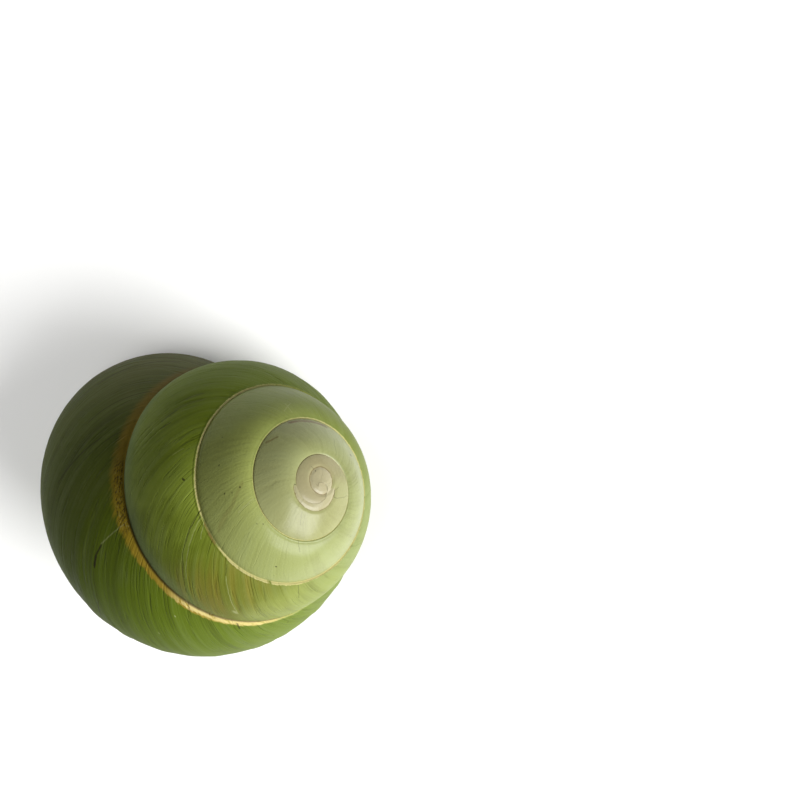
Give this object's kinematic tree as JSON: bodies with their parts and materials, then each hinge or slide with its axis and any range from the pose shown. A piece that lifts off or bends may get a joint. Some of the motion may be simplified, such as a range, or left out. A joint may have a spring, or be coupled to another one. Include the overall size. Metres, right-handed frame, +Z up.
{
  "type": "apple snail shell",
  "caption": "Empty right-handed apple snail shell, globose with a short spire and a wide open mouth, lying on its lip.",
  "frame": {"origin": "centre of the bounding box, on the surface that the shell lies on", "axes": "+Z up, the shell lying on its lip and the base of its last whorl; +X towards the side that the spire leans to, so that the coiling axis lies in the XZ plane"},
  "size_m": [0.049, 0.0476, 0.0403],
  "materials": {
    "shell": "satin, olive green horny skin with fine growth lines"
  },
  "bodies": {
    "root": {"shell": "shell"}
  },
  "joints": []
}
